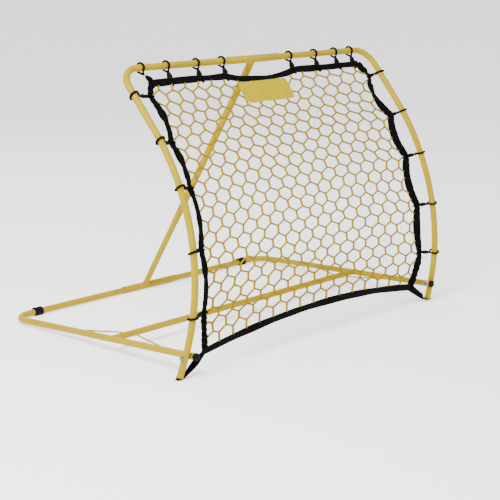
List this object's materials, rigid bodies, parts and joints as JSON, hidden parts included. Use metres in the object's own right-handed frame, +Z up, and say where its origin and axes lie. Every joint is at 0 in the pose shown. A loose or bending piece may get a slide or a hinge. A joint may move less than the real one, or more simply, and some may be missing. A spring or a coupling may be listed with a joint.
{
  "type": "pitch back rebounder",
  "caption": "Ball rebounder: a bowed tube frame with an elastic-tied net, hinged on a flat ground frame and held at its angle by a telescopic strut.",
  "frame": {"origin": "centre of the bounding box's footprint, on the ground", "axes": "X along the bars, +Y to the rear, -Y is the side the ball comes from, +Z up"},
  "size_m": [1.4704, 1.0874, 1.0694],
  "materials": {
    "yellow_enamel": "smooth gloss yellow powder coat",
    "black_plastic": "moulded black",
    "toggle_plastic": "moulded black",
    "rubber": "matt black",
    "black_steel": "black zinc",
    "bright_steel": "bright zinc plate",
    "spring_steel": "dulled zinc",
    "net_cord": "knotless knitted cord",
    "webbing": "woven black webbing",
    "elastic_cord": "braided elastic cord",
    "patch_cloth": "coated yellow cloth, left bare"
  },
  "bodies": {
    "ground_frame": {"base_arm_left": "yellow_enamel", "base_arm_right": "yellow_enamel", "crossbar": "yellow_enamel", "brace_rods_left": "yellow_enamel", "brace_rods_right": "yellow_enamel", "rear_corner_left": "yellow_enamel", "rear_corner_right": "yellow_enamel", "ground_band_left": "rubber", "ground_band_right": "rubber", "arm_caps": "black_plastic", "pivot_bolts": "black_steel", "pivot_nuts": "bright_steel", "pivot_washers": "bright_steel", "rear_stop_pins": "black_steel", "rear_button_springs": "spring_steel"},
    "net_frame": {"side_tube_left": "yellow_enamel", "side_tube_right": "yellow_enamel", "top_corner_left": "yellow_enamel", "top_corner_right": "yellow_enamel", "top_button_springs": "spring_steel", "top_stop_pins": "black_steel", "foot_caps": "black_plastic", "foot_glides": "bright_steel", "net": "net_cord", "top_hem": "webbing", "left_hem": "webbing", "right_hem": "webbing", "bottom_hem": "webbing", "label_patch": "patch_cloth", "top_tie_loops": "elastic_cord", "left_tie_loops": "elastic_cord", "right_tie_loops": "elastic_cord", "tie_toggles": "toggle_plastic"},
    "strut_upper": {"top_sleeve": "yellow_enamel", "strut_outer_tube": "yellow_enamel"},
    "strut_lower": {"rear_sleeve": "yellow_enamel", "strut_inner_tube": "yellow_enamel", "strut_button_spring": "spring_steel"},
    "rear_snap_left": {"rear_button_left": "spring_steel"},
    "rear_snap_right": {"rear_button_right": "spring_steel"},
    "top_snap_left": {"top_button_left": "spring_steel"},
    "top_snap_right": {"top_button_right": "spring_steel"},
    "strut_snap": {"strut_button": "spring_steel"}
  },
  "joints": [
    {"name": "tilt", "type": "hinge", "parent": "ground_frame", "child": "net_frame", "pos_m": [0, -0.50231, 0.084], "axis": [-1, 0, 0], "range_deg": [-8, 16], "deforming": ["strut_button_spring", "strut_button"]},
    {"name": "strut_top_turn", "type": "hinge", "parent": "net_frame", "child": "strut_upper", "pos_m": [0, -0.14402, 1.05144], "axis": [-1, 0, 0], "range_deg": [-8, 4]},
    {"name": "strut_foot_turn", "type": "hinge", "parent": "ground_frame", "child": "strut_lower", "pos_m": [0, 0.52704, 0.015], "axis": [-1, 0, 0], "range_deg": [-4, 8]},
    {"name": "rear_snap_left_press", "type": "slide", "parent": "ground_frame", "child": "rear_snap_left", "axis": [0, -0.0669, -0.9978], "range_m": [-0.005, 0], "stiffness_N_per_m": 1200, "springref_m": 0.001, "deforming": ["rear_button_springs"]},
    {"name": "rear_snap_right_press", "type": "slide", "parent": "ground_frame", "child": "rear_snap_right", "axis": [0, -0.0669, -0.9978], "range_m": [-0.005, 0], "stiffness_N_per_m": 1200, "springref_m": 0.001, "deforming": ["rear_button_springs"]},
    {"name": "top_snap_left_press", "type": "slide", "parent": "net_frame", "child": "top_snap_left", "axis": [0.8064, -0.4274, 0.4087], "range_m": [-0.005, 0], "stiffness_N_per_m": 1200, "springref_m": 0.001, "deforming": ["top_button_springs"]},
    {"name": "top_snap_right_press", "type": "slide", "parent": "net_frame", "child": "top_snap_right", "axis": [0.5907, -0.6149, 0.5225], "range_m": [-0.005, 0], "stiffness_N_per_m": 1200, "springref_m": 0.001, "deforming": ["top_button_springs"]},
    {"name": "strut_snap_press", "type": "slide", "parent": "strut_lower", "child": "strut_snap", "axis": [0, 0.8394, 0.5435], "range_m": [-0.005, 0], "stiffness_N_per_m": 1200, "springref_m": 0.001, "deforming": ["strut_button_spring"]}
  ],
  "couplings": [
    {"joint": "strut_top_turn", "follows": "tilt", "ratio": -0.5},
    {"joint": "strut_foot_turn", "follows": "tilt", "ratio": 0.5}
  ]
}
